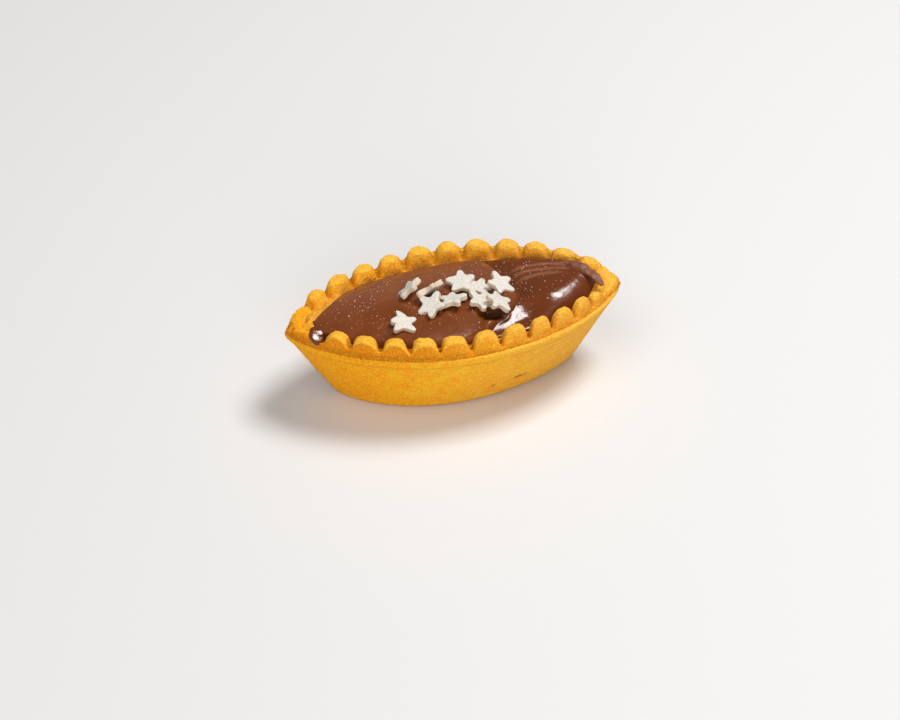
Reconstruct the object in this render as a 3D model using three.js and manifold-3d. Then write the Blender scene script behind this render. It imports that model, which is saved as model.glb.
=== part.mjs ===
// A boat-shaped chocolate hazelnut tart: a shortcrust shell with a beaded rim, filled with
// hazelnut cream that carries a cluster of sugar stars. Millimetres, +Z up. The origin is the
// middle of the flat base, +X runs to the right-hand tip and +Y to the back.
import * as THREE from "three";
import { mergeVertices } from "three/addons/utils/BufferGeometryUtils.js";
import Module from "manifold-3d";

const wasm = await Module();
wasm.setup();

// Outlines of the shell: at the crease under the rim, and at the flat base
const RIM = { halfLength: 42.5, halfWidth: 20.5, fullness: 0.704, lean: 0.03 };
const BASE = { halfLength: 30.4, halfWidth: 11.5, fullness: 0.78, lean: -0.12 };
const CREASE_HEIGHT = 21.2;
const BASE_ROUNDING = 1.2;
const LIP_HEIGHT = 2.2;
const LIP_BULGE = 0.35;
const SQUARENESS = 2.2;

// The rim: a band all round, with short half-barrels lying across it
const BAND_HEIGHT = 2.4;
const BEAD_HEIGHT = 2.7;
const BEAD_LENGTH = 3.9;
const INNER_SLOPE = 0.5;
const BEAD_ROUNDING = 0.8;
const BEAD_FACE_LEAN = 0.3;
const SHELF_RISE = 0.35;
const NOTCH = 1.0;
const SHELF_FRONT_LEFT = 0.35;
const SHELF_FRONT_RIGHT = 1.4;
const SHELF_BACK = 0.1;
const SIDE_ARC = 99.2;

// Each bead from the left tip to the right one: its width along the rim, and its height as a
// share of BEAD_HEIGHT
const FRONT_START = 4.7;
const FRONT_BEADS = [
  [6.8, 0.3], [7.5, 1.05], [8.0, 1.08], [7.5, 1.1], [7.4, 1.1], [7.8, 1.1],
  [7.6, 1.12], [7.6, 1.05], [7.1, 0.98], [7.4, 0.92], [6.7, 0.86], [5.6, 0.35],
];
const BACK_START = 1.3;
const BACK_BEADS = [
  [7.9, 0.5], [7.2, 0.85], [8.2, 1.1], [7.9, 1.12], [7.7, 1.15], [8.0, 1.2],
  [7.4, 1.2], [8.0, 1.2], [7.6, 1.15], [7.8, 1.1], [8.0, 0.85], [6.9, 0.55],
];

// The hollow in the shell, and the cream in it
const WALL = 4.0;
const FLOOR = 3.2;
const HOLLOW_ROUNDING = 2.5;
const INNER_EDGE = 5.1;
const INNER_EDGE_HEIGHT = 1.6;
const CLEARANCE = 0.3;
const CREAM_EDGE_HEIGHT = 1.3;
const CREAM_EDGE_RISE = 1.2;
const CREAM_LAP = 0.9;
const EDGE_SHARPNESS = 7;
const FRONT_EDGE_SHARPNESS = 26;
const END_SHARPNESS = 20;
const FRONT_EDGE_DROP = 1.3;

// Lobes of the cream, left by the spatula: one long lobe with a rolled right-hand end, over a
// lower right half that has a deep valley beside the roll, a step across it and a ridge at its end
const LEFT_LOBE = { x: -9, y: 0.5, halfLength: 29, halfWidth: 15, height: 1.9, edge: 1.0 };
const FRONT_MOUND = { x: -1.5, y: -6, halfLength: 17, halfWidth: 8.5, height: 0.2, edge: 1.5 };
const FOLD_X = 15.8;
const FOLD_Y = -3.5;
const FOLD_CURVE = 0.02;
const FOLD_ROLL = 2.2;
const FOLD_HEIGHT = 2.1;
const LOBE_FRONT = [
  [-1, -18], [2, -17], [4, -15], [6, -12], [8, -10.6], [10, -9.9], [13.8, -6.5], [17, -3],
];
const CORNER_WIDTH = 3.0;
const VALLEY = -1.0;
const TROUGH = 1.3;
const TROUGH_WIDTH = 3.5;
const STEP_MIDDLE = 5.2;
const STEP_REACH = 1.8;
const STEP_RISE = 1.5;
const RIDGE_HEIGHT = 3.3;
const RIDGE_REACH = 6.8;
const RIDGE_STRAIGHT = 0.4;
const RIDGE_BACK = 0.25;
const RIDGE_START = 15;
const RIDGE_FULL = 25;
const RIDGE_SKEW = 0.8;

// Sugar stars: where the middle lies, how far it stands above the cream, its turn about its own
// axis, its tilt, the way it tilts, and its size as a share of STAR_RADIUS. Angles in degrees.
const STAR_RADIUS = 3.8;
const STAR_THICKNESS = 1.8;
const STAR_ROUNDING = 0.35;
const STAR_ARMS = 5;
const STAR_ARM_OUTLINE = [[-30, 0.58], [-10.5, 0.98], [10.5, 0.98], [30, 0.58]];
const STARS = [
  { x: -14.5, y: -8.0, lift: 0.7, turn: 13, tilt: 10, way: -50, size: 1.0 },
  { x: -10.8, y: 2.6, lift: 1.6, turn: 11, tilt: 50, way: 147, size: 1.0 },
  { x: -5.7, y: 1.1, lift: 1.8, turn: -5, tilt: 62, way: 118, size: 1.1 },
  { x: 2.4, y: 2.6, lift: 1.7, turn: 67, tilt: 9, way: -128, size: 1.1 },
  { x: -6.7, y: -4.8, lift: 1.5, turn: 44, tilt: 27, way: -153, size: 1.04 },
  { x: -1.2, y: -3.2, lift: 1.0, turn: 5, tilt: 7, way: 131, size: 1.0 },
  { x: 6.6, y: 0.7, lift: 1.0, turn: 69, tilt: 18, way: -1, size: 1.0 },
  { x: 11.6, y: -0.3, lift: 1.2, turn: 38, tilt: 23, way: -36, size: 1.0 },
  { x: 5.8, y: -5.4, lift: 1.0, turn: 54, tilt: 15, way: -1, size: 1.04 },
  { x: 9.6, y: -7.7, lift: 1.4, turn: 19, tilt: 28, way: -5, size: 1.0 },
];

// How finely the outlines are laid out
const ARC_STEPS = 800;
const PLAIN_STATIONS = 36;
const BEAD_STATIONS = 8;
const TIP_STATION = 1.3;
const CREAM_COLUMNS = 60;
const CREAM_ROWS = 22;
const DEGREE = Math.PI / 180;

const crustMaterial = new THREE.MeshStandardMaterial({ color: 0xd9993a, roughness: 0.8, metalness: 0 });
const creamMaterial = new THREE.MeshStandardMaterial({ color: 0x4a2416, roughness: 0.35, metalness: 0 });

// A boat outline between two others
function between(a, b, t) {
  const mix = (key) => a[key] + (b[key] - a[key]) * t;
  return {
    halfLength: mix("halfLength"),
    halfWidth: mix("halfWidth"),
    fullness: mix("fullness"),
    lean: mix("lean"),
  };
}

// A boat outline moved inwards by a distance
function inside(shape, distance) {
  return {
    ...shape,
    halfLength: shape.halfLength - distance,
    halfWidth: shape.halfWidth - distance,
  };
}

function halfWidthAt(shape, x) {
  const u = THREE.MathUtils.clamp(x / shape.halfLength, -1, 1);
  return shape.halfWidth * (1 - u * u) ** shape.fullness * (1 + shape.lean * u);
}

// A point of an outline. u runs from -1 at the left tip to 1 at the right one, and side is -1 at
// the front and 1 at the back. Lines of one u cross the rim nearly square to it.
function outlinePoint(shape, u, side) {
  const inward = RIM.halfLength - shape.halfLength;
  const x = RIM.halfLength * u - inward * Math.sign(u) * Math.abs(u) ** SQUARENESS;
  return [x, side * halfWidthAt(shape, x)];
}

// The outline of the outer wall at a height, pushed out by a distance
function wallOutline(height, out = 0) {
  return inside(between(BASE, RIM, height / CREASE_HEIGHT), -out);
}

// Places along one side of the rim, as the u at each arc length
const arcTable = [0];
for (let i = 1; i <= ARC_STEPS; i++) {
  const [xa, ya] = outlinePoint(RIM, (2 * (i - 1)) / ARC_STEPS - 1, 1);
  const [xb, yb] = outlinePoint(RIM, (2 * i) / ARC_STEPS - 1, 1);
  arcTable.push(arcTable[i - 1] + Math.hypot(xb - xa, yb - ya));
}
function uAtArc(arc) {
  const wanted = (arc / SIDE_ARC) * arcTable[ARC_STEPS];
  const i = Math.max(1, arcTable.findIndex((length) => length >= wanted));
  const part = (wanted - arcTable[i - 1]) / (arcTable[i] - arcTable[i - 1]);
  return (2 * (i - 1 + part)) / ARC_STEPS - 1;
}

// The stations of one side of the rim: u, and how high the beads stand there
function sideStations(side, start, beads) {
  const stations = [];
  for (let arc = side < 0 ? 0 : TIP_STATION; arc < start - TIP_STATION / 2; arc += TIP_STATION)
    stations.push({ u: uAtArc(arc), side, bead: 0 });
  let arc = start;
  for (const [width, height] of beads) {
    for (let k = 0; k <= BEAD_STATIONS; k++) {
      const turn = (Math.PI / 2) * ((2 * k) / BEAD_STATIONS - 1);
      const place = arc + width / 2 + (width / 2 - NOTCH / 2) * Math.sin(turn);
      stations.push({ u: uAtArc(place), side, bead: height * BEAD_HEIGHT * Math.cos(turn) });
    }
    arc += width;
  }
  for (arc += TIP_STATION; arc < SIDE_ARC - TIP_STATION / 2; arc += TIP_STATION)
    stations.push({ u: uAtArc(arc), side, bead: 0 });
  if (side < 0) stations.push({ u: 1, side, bead: 0 });
  return stations;
}
const rimStations = [
  ...sideStations(-1, FRONT_START, FRONT_BEADS),
  ...sideStations(1, BACK_START, BACK_BEADS).reverse(),
];

// Stations all round, without beads: closer together towards the tips
function evenStations(perSide) {
  return Array.from({ length: 2 * perSide }, (_, k) => {
    const turn = (Math.PI * k) / perSide;
    const front = k <= perSide;
    const even = front ? (2 * k) / perSide - 1 : 3 - (2 * k) / perSide;
    return { u: (even - Math.cos(turn)) / 2, side: front ? -1 : 1, bead: 0 };
  });
}
const plainStations = evenStations(PLAIN_STATIONS);

// Width of the shelf outside the beads
function shelfAt({ u, side }) {
  const right = THREE.MathUtils.smoothstep(u, -0.3, 0.6);
  const front = SHELF_FRONT_LEFT + (SHELF_FRONT_RIGHT - SHELF_FRONT_LEFT) * right;
  const towardsBack = THREE.MathUtils.smoothstep(Math.abs(u), 0.9, 1);
  return side < 0 ? front + (SHELF_BACK - front) * towardsBack : SHELF_BACK;
}

function beadLength(shelf) {
  return Math.min(BEAD_FACE_LEAN + BEAD_LENGTH, INNER_EDGE - INNER_SLOPE - shelf);
}

// One closed ring of points, with the place of each along the ring from 0 to 1
function ring(stations, outlineOf, heightOf) {
  const points = stations.map((station) => {
    const [x, y] = outlinePoint(outlineOf(station), station.u, station.side);
    return new THREE.Vector3(x, y, heightOf(station));
  });
  const places = stations.map(({ u, side }) => {
    const along = Math.acos(THREE.MathUtils.clamp(-u, -1, 1)) / (2 * Math.PI);
    return side < 0 ? along : 1 - along;
  });
  return { points, places };
}

// Triangles between two closed rings, walking both at once by place
function stitch(triangles, low, high) {
  const n = low.points.length;
  const m = high.points.length;
  const placeOf = (loop, i) => loop.places[i % loop.places.length] + Math.floor(i / loop.places.length);
  let i = 0;
  let j = 0;
  while (i < n || j < m) {
    const a = low.points[i % n];
    const b = high.points[j % m];
    const middleLow = i < n ? (placeOf(low, i) + placeOf(low, i + 1)) / 2 : Infinity;
    const middleHigh = j < m ? (placeOf(high, j) + placeOf(high, j + 1)) / 2 : Infinity;
    if (middleLow <= middleHigh) {
      triangles.push(a, low.points[(i + 1) % n], b);
      i++;
    } else {
      triangles.push(a, high.points[(j + 1) % m], b);
      j++;
    }
  }
}

// Triangles from a ring to a point inside it
function fan(triangles, loop, centre, facingDown) {
  const n = loop.points.length;
  for (let i = 0; i < n; i++) {
    const a = loop.points[i];
    const b = loop.points[(i + 1) % n];
    triangles.push(...(facingDown ? [a, centre, b] : [a, b, centre]));
  }
}

function geometryOf(triangles) {
  const geometry = new THREE.BufferGeometry().setFromPoints(triangles);
  return mergeVertices(geometry, 1e-4);
}

function solidOf(geometry) {
  const plain = new THREE.BufferGeometry();
  plain.setAttribute("position", geometry.getAttribute("position"));
  if (geometry.index) plain.setIndex(geometry.index);
  const merged = mergeVertices(plain, 1e-4);
  return new wasm.Manifold(
    new wasm.Mesh({
      numProp: 3,
      vertProperties: new Float32Array(merged.attributes.position.array),
      triVerts: new Uint32Array(merged.index.array),
    }),
  );
}

function geometryOfSolid(solid) {
  const mesh = solid.getMesh();
  const geometry = new THREE.BufferGeometry();
  geometry.setAttribute("position", new THREE.BufferAttribute(mesh.vertProperties, 3));
  geometry.setIndex(new THREE.BufferAttribute(mesh.triVerts, 1));
  return geometry;
}

// The rings of the hollow, from its floor up to the inner edge of the rim, each moved inwards
// by a clearance for the cream
function hollowRings(clearance) {
  const floor = FLOOR + clearance;
  const at = (height, extra) =>
    ring(plainStations, () => inside(wallOutline(height), WALL + extra + clearance), () => height);
  return [at(floor, HOLLOW_ROUNDING), at(floor + 1, 0.5), at(CREASE_HEIGHT * 0.6, 0)];
}

// The shell, as rings from the middle of its base, up the wall, over the rim and into the hollow
function crust() {
  const bandTop = CREASE_HEIGHT + BAND_HEIGHT;
  const atWall = (height, out) => ring(plainStations, () => wallOutline(height, out), () => height);
  const onRim = (share, depth, heightOf) =>
    ring(
      rimStations,
      (station) => {
        const shelf = shelfAt(station);
        return inside(RIM, shelf + share * beadLength(shelf) + depth);
      },
      heightOf,
    );
  const rings = [
    atWall(0, -BASE_ROUNDING),
    atWall(BASE_ROUNDING * 0.3, -BASE_ROUNDING * 0.3),
    atWall(BASE_ROUNDING, 0),
    atWall(CREASE_HEIGHT * 0.45, 0.15),
    atWall(CREASE_HEIGHT - LIP_HEIGHT, 0),
    atWall(CREASE_HEIGHT - LIP_HEIGHT * 0.6, LIP_BULGE),
    ring(rimStations, () => wallOutline(CREASE_HEIGHT), () => CREASE_HEIGHT),
    onRim(0, 0, () => CREASE_HEIGHT + SHELF_RISE),
    onRim(0, BEAD_FACE_LEAN, () => bandTop),
    onRim(0, BEAD_FACE_LEAN + 0.15, (s) => bandTop + s.bead * 0.8),
    onRim(0, BEAD_FACE_LEAN + BEAD_ROUNDING, (s) => bandTop + s.bead),
    onRim(0.6, 0, (s) => bandTop + s.bead),
    onRim(1, 0, (s) => bandTop + s.bead * 0.86 - 0.1),
    onRim(1, INNER_SLOPE / 2, (s) => CREASE_HEIGHT + INNER_EDGE_HEIGHT + s.bead * 0.4),
    ring(rimStations, () => inside(RIM, INNER_EDGE), () => CREASE_HEIGHT),
    ...hollowRings(0).reverse(),
  ];
  const triangles = [];
  fan(triangles, rings[0], new THREE.Vector3(0, 0, 0), true);
  for (let i = 1; i < rings.length; i++) stitch(triangles, rings[i - 1], rings[i]);
  fan(triangles, rings[rings.length - 1], new THREE.Vector3(0, 0, FLOOR), false);
  return geometryOf(triangles);
}

// Height of a lobe's rounded back above its foot
function lobe(shape, x, y) {
  const r = Math.hypot((x - shape.x) / shape.halfLength, (y - shape.y) / shape.halfWidth);
  return shape.height * Math.max(0, 1 - r * r) ** shape.edge;
}

// Distance of a place from the front edge of an outline
function fromFrontEdge(outline, x, y) {
  const slope = halfWidthAt(outline, x + 0.5) - halfWidthAt(outline, x - 0.5);
  return (y + halfWidthAt(outline, x)) / Math.hypot(1, slope);
}

// Where the front edge of the left lobe runs
function lobeFrontAt(x) {
  const next = LOBE_FRONT.findIndex(([at]) => at > x);
  if (next < 0) return LOBE_FRONT[LOBE_FRONT.length - 1][1];
  if (next === 0) return LOBE_FRONT[0][1];
  const [xa, ya] = LOBE_FRONT[next - 1];
  const [xb, yb] = LOBE_FRONT[next];
  return ya + ((yb - ya) * (x - xa)) / (xb - xa);
}

// How far a place lies inside the right-hand end of the left lobe, which is rounded at its corner
function insideLobe(x, y) {
  const fromFold = FOLD_X - FOLD_CURVE * (y - FOLD_Y) ** 2 - x;
  const fromFront = (y - lobeFrontAt(x)) * 0.9;
  const corner = THREE.MathUtils.clamp(1 - Math.abs(fromFold - fromFront) / CORNER_WIDTH, 0, 1);
  return Math.min(fromFold, fromFront) - (CORNER_WIDTH / 4) * corner ** 2;
}

// How far the cream rises at a place above its foot: the right half, and the left lobe over it
function creamRise(x, y) {
  const { clamp, smoothstep } = THREE.MathUtils;
  const fromFront = fromFrontEdge(inside(RIM, INNER_EDGE + CLEARANCE), x, y);
  const step = smoothstep(fromFront, STEP_MIDDLE - STEP_REACH, STEP_MIDDLE + STEP_REACH);
  const beyond = Math.max(-insideLobe(x, y), 0);
  const deep = smoothstep(fromFront, 5, 9) * smoothstep(x, 8, 11);
  const trough = TROUGH * Math.exp(-((beyond / TROUGH_WIDTH) ** 2)) * deep;
  const valley = VALLEY + STEP_RISE * step - trough;
  const inward = clamp(fromFront / RIDGE_REACH, 0, 1);
  const bend = Math.max(inward - RIDGE_STRAIGHT, 0);
  const climb = (2 * inward - bend ** 2 / (1 - RIDGE_STRAIGHT)) / (1 + RIDGE_STRAIGHT);
  const ridge = VALLEY + RIDGE_HEIGHT * climb * (1 - RIDGE_BACK * smoothstep(fromFront, 8.5, 15));
  const along = x + RIDGE_SKEW * (clamp(fromFront, 0, 8) - 4);
  const right = valley + (ridge - valley) * smoothstep(along, RIDGE_START, RIDGE_FULL);
  const mound = lobe(LEFT_LOBE, x, y) + lobe(FRONT_MOUND, x, y);
  const left = Math.max(mound, FOLD_HEIGHT * smoothstep(x, 0, 12));
  const rolled = clamp(insideLobe(x, y) / (FOLD_ROLL + smoothstep(fromFront, 7, 11)), 0, 1);
  return right + Math.max(left - right, 0) * rolled * (2 - rolled);
}

// Height of the cream's top at a place. Across goes from -1 at the front edge to 1 at the back
// one, and along from -1 at the left tip to 1 at the right one.
function creamTop(x, y, across, along) {
  const { smoothstep } = THREE.MathUtils;
  const sharpness = across < 0 ? FRONT_EDGE_SHARPNESS : EDGE_SHARPNESS;
  const edge = (1 - Math.abs(across) ** sharpness) * (1 - Math.abs(along) ** END_SHARPNESS);
  const rounding = Math.sqrt(Math.max(edge, 0));
  const beforeTips = 1 - smoothstep(Math.abs(along), 0.9, 1);
  const lap = CREAM_LAP * smoothstep(x, 17, 26) * beforeTips * smoothstep(across, 0.2, 1);
  const drop = FRONT_EDGE_DROP * smoothstep(-across, 0.3, 1) * beforeTips;
  const foot = CREASE_HEIGHT + CREAM_EDGE_HEIGHT - drop + lap * (1 - 0.5 * rounding);
  return foot + (CREAM_EDGE_RISE + drop + creamRise(x, y)) * rounding;
}

// The cream: it fills the hollow, under a top laid out in columns from tip to tip
function cream() {
  const outline = inside(RIM, INNER_EDGE + CLEARANCE);
  const stations = evenStations(CREAM_COLUMNS);
  const columns = [];
  for (const { u } of stations.slice(0, CREAM_COLUMNS + 1)) {
    const [x, reach] = outlinePoint(outline, u, 1);
    const column = [];
    for (let j = 0; j <= CREAM_ROWS; j++) {
      const share = Math.sin((Math.PI / 2) * ((2 * j) / CREAM_ROWS - 1));
      const y = reach * share;
      column.push(new THREE.Vector3(x, y, creamTop(x, y, share, u)));
    }
    columns.push(column);
  }
  const triangles = [];
  const add = (...corners) => {
    const [a, b, c] = corners;
    if (a.distanceTo(b) > 1e-3 && b.distanceTo(c) > 1e-3 && c.distanceTo(a) > 1e-3)
      triangles.push(...corners);
  };
  for (let i = 0; i < CREAM_COLUMNS; i++)
    for (let j = 0; j < CREAM_ROWS; j++) {
      add(columns[i][j], columns[i + 1][j], columns[i + 1][j + 1]);
      add(columns[i][j], columns[i + 1][j + 1], columns[i][j + 1]);
    }
  const brim = ring(stations, () => outline, ({ u, side }) => {
    const [x, y] = outlinePoint(outline, u, side);
    return creamTop(x, y, side, u);
  });
  const rings = [...hollowRings(CLEARANCE), brim];
  fan(triangles, rings[0], new THREE.Vector3(0, 0, FLOOR + CLEARANCE), true);
  for (let i = 1; i < rings.length; i++) stitch(triangles, rings[i - 1], rings[i]);
  return geometryOf(triangles);
}

// One sugar star, lying flat around its own middle
function star(radius) {
  const outline = new THREE.Shape();
  for (let arm = 0; arm < STAR_ARMS; arm++)
    for (const [angle, share] of STAR_ARM_OUTLINE) {
      const turn = ((360 / STAR_ARMS) * arm + angle) * DEGREE;
      const [x, y] = [radius * share * Math.cos(turn), radius * share * Math.sin(turn)];
      if (outline.curves.length || outline.currentPoint.length()) outline.lineTo(x, y);
      else outline.moveTo(x, y);
    }
  const geometry = new THREE.ExtrudeGeometry(outline, {
    depth: STAR_THICKNESS - 2 * STAR_ROUNDING,
    bevelThickness: STAR_ROUNDING,
    bevelSize: STAR_ROUNDING,
    bevelOffset: -STAR_ROUNDING,
    bevelSegments: 1,
    steps: 1,
  });
  return geometry.translate(0, 0, STAR_ROUNDING - STAR_THICKNESS / 2);
}

// A star as it lies: turned about its own axis, then tilted towards its way, on the cream
function placedStar({ x, y, lift, turn, tilt, way, size }) {
  const outline = inside(RIM, INNER_EDGE + CLEARANCE);
  const across = y / halfWidthAt(outline, x);
  const along = x / outline.halfLength;
  const axis = new THREE.Vector3(-Math.sin(way * DEGREE), Math.cos(way * DEGREE), 0);
  return star(STAR_RADIUS * size)
    .rotateZ(turn * DEGREE)
    .applyMatrix4(new THREE.Matrix4().makeRotationAxis(axis, tilt * DEGREE))
    .translate(x, y, creamTop(x, y, across, along) + lift);
}

// The cream with its stars, as one body
function creamWithStars() {
  let body = solidOf(cream());
  for (const place of STARS) body = body.add(solidOf(placedStar(place)));
  return geometryOfSolid(body);
}

function mesh(name, geometry, material) {
  const made = new THREE.Mesh(geometry, material);
  made.name = name;
  return made;
}

const group = new THREE.Group();
group.add(mesh("crust", crust(), crustMaterial));
group.add(mesh("filling", creamWithStars(), creamMaterial));
export default group;
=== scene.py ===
"""A boat-shaped chocolate hazelnut tart: shortcrust shell, hazelnut cream and sugar stars.

Sizes are in millimetres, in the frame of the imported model, and a mesh is scaled to metres when it
is made.
"""
import itertools
import math
from collections import namedtuple

import bpy
import numpy as np
from mathutils import Matrix, Vector


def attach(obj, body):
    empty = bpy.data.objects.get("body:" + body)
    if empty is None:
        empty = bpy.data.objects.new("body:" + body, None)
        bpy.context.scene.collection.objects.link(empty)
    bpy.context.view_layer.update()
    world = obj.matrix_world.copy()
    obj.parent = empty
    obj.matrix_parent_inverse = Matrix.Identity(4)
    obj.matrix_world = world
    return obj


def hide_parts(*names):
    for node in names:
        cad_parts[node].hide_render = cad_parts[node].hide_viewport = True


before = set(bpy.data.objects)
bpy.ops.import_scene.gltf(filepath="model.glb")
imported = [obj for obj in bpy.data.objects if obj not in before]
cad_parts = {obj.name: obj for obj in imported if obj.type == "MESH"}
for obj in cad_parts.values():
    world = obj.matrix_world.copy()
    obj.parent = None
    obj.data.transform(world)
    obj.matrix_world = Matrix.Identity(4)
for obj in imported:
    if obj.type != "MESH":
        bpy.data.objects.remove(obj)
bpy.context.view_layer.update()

MM = 0.001
SEED = 11

# The shell: its outline at the rim and at the base, and its wall
Outline = namedtuple("Outline", "half_length half_width fullness lean")
RIM = Outline(42.5, 20.5, 0.704, 0.03)
BASE = Outline(30.4, 11.5, 0.78, -0.12)
CREASE_HEIGHT = 21.2
BASE_ROUNDING = 1.2
LIP_HEIGHT = 2.2
LIP_BULGE = 0.35
SQUARENESS = 2.2

# The band above the crease, and the beads of pastry that lie across the rim
BAND_HEIGHT = 2.4
BEAD_HEIGHT = 2.7
BEAD_LENGTH = 3.9
BEAD_FACE_LEAN = 0.3
INNER_SLOPE = 0.5
SHELF_RISE = 0.35
NOTCH = 1.0
SHELF_FRONT_LEFT = 0.35
SHELF_FRONT_RIGHT = 1.4
SHELF_BACK = 0.1
SIDE_ARC = 99.2

# Width along the rim and share of BEAD_HEIGHT of each bead, from the left tip to the right one
FRONT_START = 4.7
FRONT_BEADS = [
    (6.8, 0.12), (7.5, 1.05), (8.0, 1.08), (7.5, 1.1), (7.4, 1.1), (7.8, 1.1),
    (7.6, 1.12), (7.6, 1.05), (7.1, 0.98), (7.4, 0.92), (6.7, 0.86), (5.6, 0.35),
]
BACK_START = 1.3
BACK_BEADS = [
    (7.9, 0.5), (7.2, 0.85), (8.2, 1.1), (7.9, 1.12), (7.7, 1.15), (8.0, 1.2),
    (7.4, 1.2), (8.0, 1.2), (7.6, 1.15), (7.8, 1.1), (8.0, 0.85), (6.9, 0.55),
]

# The hollow for the cream
WALL = 4.0
FLOOR = 3.2
INNER_EDGE = 5.1
CLEARANCE = 0.3

# The edge of the cream's top
CREAM_EDGE_HEIGHT = 1.3
CREAM_EDGE_RISE = 1.2
CREAM_LAP = 0.9
EDGE_SHARPNESS = 7
FRONT_EDGE_SHARPNESS = 42
END_SHARPNESS = 20
FRONT_EDGE_DROP = 1.3
TUCK = 1.2

# The left lobe, and the fold where it ends
FOLD_HEIGHT = 2.1
CORNER_WIDTH = 3.0
# Its front edge, where it draws back from the shell
LOBE_FRONT = [(2, -18), (4.5, -16.5), (6, -12.8), (8, -10.8), (10, -9.9), (13.8, -6.5), (17, -3)]
Lobe = namedtuple("Lobe", "x y half_length half_width height edge")
LEFT_LOBE = Lobe(-9, 0.5, 29, 15, 1.9, 1.0)
FRONT_MOUND = Lobe(-1.5, -6, 17, 8.5, 0.2, 1.5)
FOLD_X = 15.8
FOLD_Y = -3.5
FOLD_CURVE = 0.02
FOLD_ROLL = 2.2

# The right half: a ridge along its front, the step beside the fold and the trough between
RIDGE_HEIGHT = 3.3
RIDGE_REACH = 6.8
RIDGE_STRAIGHT = 0.4
RIDGE_BACK = 0.25
RIDGE_START = 15
RIDGE_FULL = 25
RIDGE_SKEW = 0.8
VALLEY = -1.0
STEP_MIDDLE = [(10, 3.9), (18, 6.5)]
STEP_REACH = 2.5
STEP_RISE = 1.5
STEP_END = (18.5, 21)
FRONT_DIP = 1.5
FRONT_DIP_REACH = 2.4
TROUGH = 1.3
TROUGH_WIDTH = 3.5
TROUGH_FRONT = (7.2, 10)
TROUGH_LEFT = (8, 11)

STAR_RADIUS = 3.8
STAR_THICKNESS = 1.41
STAR_ARMS = 5
Star = namedtuple("Star", "x y lift turn tilt way size")
STARS = [
    Star(-14.5, -8.0, 0.7, 13, 10, -50, 1.0),
    Star(-10.8, 2.6, 1.6, 11, 44, 147, 1.0),
    Star(-5.7, 1.1, 1.8, -5, 55, 118, 1.1),
    Star(2.4, 2.6, 1.7, 81, 9, -128, 1.1),
    Star(-6.7, -4.8, 1.5, 44, 27, -153, 1.04),
    Star(-1.2, -3.2, 1.1, 5, 15, 105, 1.0),
    Star(6.6, 0.7, 1.0, 69, 18, -1, 1.0),
    Star(11.6, -0.3, 1.3, 38, 23, -36, 1.0),
    Star(5.8, -4.8, 1.1, 54, 15, -1, 1.04),
    Star(9.6, -7.0, 1.5, 19, 28, -5, 1.0),
]

# The camera: focal length in pixels, where the tart's middle falls in the picture, and its distance
PICTURE_WIDTH = 900
PICTURE_HEIGHT = 720
FOCAL_PIXELS = 2472
SENSOR = 36
CAMERA_TURN = math.radians(-11.569)
CAMERA_PITCH = math.radians(40.342)
CAMERA_ROLL = math.radians(1.317)
CAMERA_DISTANCE = 625.7
ORIGIN_PIXEL = (455.65, 373.01)


def smoothstep(value, low, high):
    """0 below low and 1 above high, smooth between."""
    t = np.clip((value - low) / (high - low), 0, 1)
    return t * t * (3 - 2 * t)


# Large primes, which mix the corners of the noise's cells
PRIMES = (73856093, 19349663, 83492791)
MIXER = 1274126177


def noise(points, size, seed=0):
    """Smooth noise from -1 to 1, with lumps of about that size in millimetres."""
    scaled = np.asarray(points, dtype=float) / size + 31.7 * (seed + SEED)
    cell = np.floor(scaled).astype(np.int64)
    part = scaled - cell
    part = part * part * (3 - 2 * part)
    total = np.zeros(scaled.shape[:-1])
    for corner in itertools.product((0, 1), repeat=3):
        x, y, z = np.moveaxis((cell + corner) * PRIMES, -1, 0)
        mixed = x ^ y ^ z
        mixed = (mixed ^ (mixed >> 13)) * MIXER
        value = ((mixed ^ (mixed >> 16)) & 0xFFFF) / 0x8000 - 1
        total += value * np.prod(np.where(corner, part, 1 - part), axis=-1)
    return total


def crowded(steps):
    """Places from -1 to 1, closer together towards the ends."""
    even = np.linspace(-1, 1, steps + 1)
    return (even + np.sin(even * np.pi / 2)) / 2


def evened(ring, times):
    """Values round a ring, each evened out with the two beside it."""
    for _ in range(times):
        ring = (np.roll(ring, 1) + 2 * ring + np.roll(ring, -1)) / 4
    return ring


def softened(rows, times):
    """Rows evened out with the rows beside them, which rounds the corners between them."""
    for _ in range(times):
        rows[1:-1] = (rows[:-2] + 2 * rows[1:-1] + rows[2:]) / 4
    return rows


def between(a, b, t):
    """The outline a part of the way from one to another."""
    return Outline(*(p + (q - p) * t for p, q in zip(a, b)))


def inside(outline, distance):
    """A boat outline moved inwards."""
    return outline._replace(
        half_length=outline.half_length - distance, half_width=outline.half_width - distance
    )


def half_width_at(outline, x):
    """Half the width of a boat outline at x."""
    u = np.clip(x / outline.half_length, -1, 1)
    return outline.half_width * (1 - u * u) ** outline.fullness * (1 + outline.lean * u)


def outline_point(outline, u, side):
    """Where a line of one u crosses an outline. Side is -1 at the front and 1 at the back."""
    inward = RIM.half_length - outline.half_length
    x = RIM.half_length * u - inward * np.sign(u) * np.abs(u) ** SQUARENESS
    return x, side * half_width_at(outline, x)


def wall_outline(height, out=0.0):
    """The outline of the plain wall at a height."""
    return inside(between(BASE, RIM, height / CREASE_HEIGHT), -out)


def u_at_arc(arc):
    """The u at each arc length along one side of the rim."""
    u = np.linspace(-1, 1, 4001)
    x, y = outline_point(RIM, u, 1)
    length = np.concatenate([[0], np.cumsum(np.hypot(np.diff(x), np.diff(y)))])
    return np.interp(np.asarray(arc) / SIDE_ARC * length[-1], length, u)


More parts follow.
